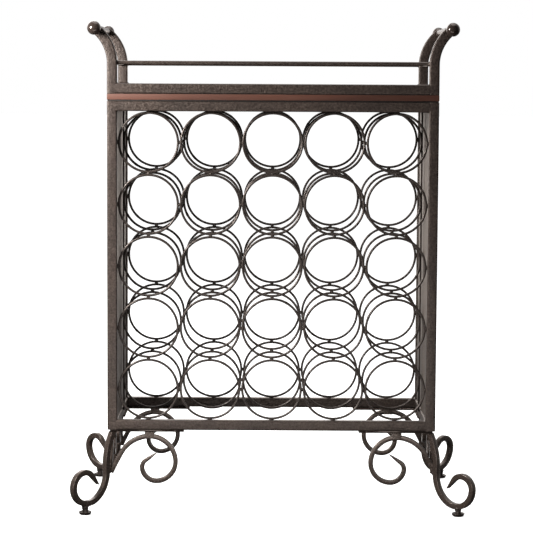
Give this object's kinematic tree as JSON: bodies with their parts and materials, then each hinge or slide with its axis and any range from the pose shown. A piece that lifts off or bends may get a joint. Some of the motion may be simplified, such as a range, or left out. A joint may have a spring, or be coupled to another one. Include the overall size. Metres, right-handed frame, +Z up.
{
  "type": "wine rack",
  "caption": "Free-standing wine rack: a welded tube frame holding grids of bottle rings, scrolled legs on levelling feet, and a lift-off wooden tray with a rod gallery and side grips.",
  "frame": {"origin": "centre of the footprint on the floor, under the middle of the rack", "axes": "+X to the viewer's right across the front, +Y from front to back, +Z up"},
  "size_m": [0.6583, 0.3755, 0.7906],
  "materials": {
    "tube_paint": "semi-gloss hammered bronze powder coat",
    "ring_paint": "semi-gloss bronze powder coat",
    "sheet_paint": "semi-gloss bronze powder coat",
    "scroll_paint": "semi-gloss hammered bronze powder coat",
    "rod_paint": "semi-gloss bronze powder coat",
    "board_wood": "reddish-brown stained, satin varnish",
    "screw_steel": "zinc plated",
    "cap_plastic": "moulded",
    "foot_metal": "dark bronze"
  },
  "bodies": {
    "rack": {"front_left_post": "tube_paint", "front_right_post": "tube_paint", "rear_left_post": "tube_paint", "rear_right_post": "tube_paint", "front_bottom_rail": "tube_paint", "front_top_rail": "tube_paint", "rear_bottom_rail": "tube_paint", "rear_top_rail": "tube_paint", "left_bottom_rail": "tube_paint", "left_top_rail": "tube_paint", "right_bottom_rail": "tube_paint", "right_top_rail": "tube_paint", "left_side_sheet": "sheet_paint", "right_side_sheet": "sheet_paint", "middle_uprights": "ring_paint", "front_rings": "ring_paint", "middle_rings": "ring_paint", "rear_rings": "ring_paint", "ring_welds": "ring_paint", "post_caps": "cap_plastic", "front_left_corner_plate": "scroll_paint", "front_right_corner_plate": "scroll_paint", "rear_left_corner_plate": "scroll_paint", "rear_right_corner_plate": "scroll_paint", "plate_screws": "screw_steel", "front_left_leg": "scroll_paint", "front_right_leg": "scroll_paint", "rear_left_leg": "scroll_paint", "rear_right_leg": "scroll_paint", "front_left_arch": "scroll_paint", "front_right_arch": "scroll_paint", "rear_left_arch": "scroll_paint", "rear_right_arch": "scroll_paint", "left_front_side_arch": "scroll_paint", "right_front_side_arch": "scroll_paint", "left_rear_side_arch": "scroll_paint", "right_rear_side_arch": "scroll_paint", "foot_nuts": "foot_metal"},
    "tray": {"tray_board": "board_wood", "tray_front_rim": "tube_paint", "tray_rear_rim": "tube_paint", "tray_left_rim": "tube_paint", "tray_right_rim": "tube_paint", "board_screws": "screw_steel", "front_left_handle_post": "tube_paint", "front_right_handle_post": "tube_paint", "rear_left_handle_post": "tube_paint", "rear_right_handle_post": "tube_paint", "left_grip": "rod_paint", "right_grip": "rod_paint", "grip_balls": "rod_paint", "front_gallery_rod": "rod_paint", "rear_gallery_rod": "rod_paint", "left_gallery_rod": "rod_paint", "right_gallery_rod": "rod_paint"},
    "front_left_levelling_foot": {"front_left_foot": "foot_metal"},
    "front_right_levelling_foot": {"front_right_foot": "foot_metal"},
    "rear_left_levelling_foot": {"rear_left_foot": "foot_metal"},
    "rear_right_levelling_foot": {"rear_right_foot": "foot_metal"}
  },
  "joints": [
    {"name": "tray_lift", "type": "slide", "parent": "rack", "child": "tray", "axis": [0, 0, 1], "range_m": [0, 0.12]},
    {"name": "front_left_foot_screw", "type": "slide", "parent": "rack", "child": "front_left_levelling_foot", "axis": [0, 0, -1], "range_m": [0, 0.006]},
    {"name": "front_right_foot_screw", "type": "slide", "parent": "rack", "child": "front_right_levelling_foot", "axis": [0, 0, -1], "range_m": [0, 0.006]},
    {"name": "rear_left_foot_screw", "type": "slide", "parent": "rack", "child": "rear_left_levelling_foot", "axis": [0, 0, -1], "range_m": [0, 0.006]},
    {"name": "rear_right_foot_screw", "type": "slide", "parent": "rack", "child": "rear_right_levelling_foot", "axis": [0, 0, -1], "range_m": [0, 0.006]}
  ]
}
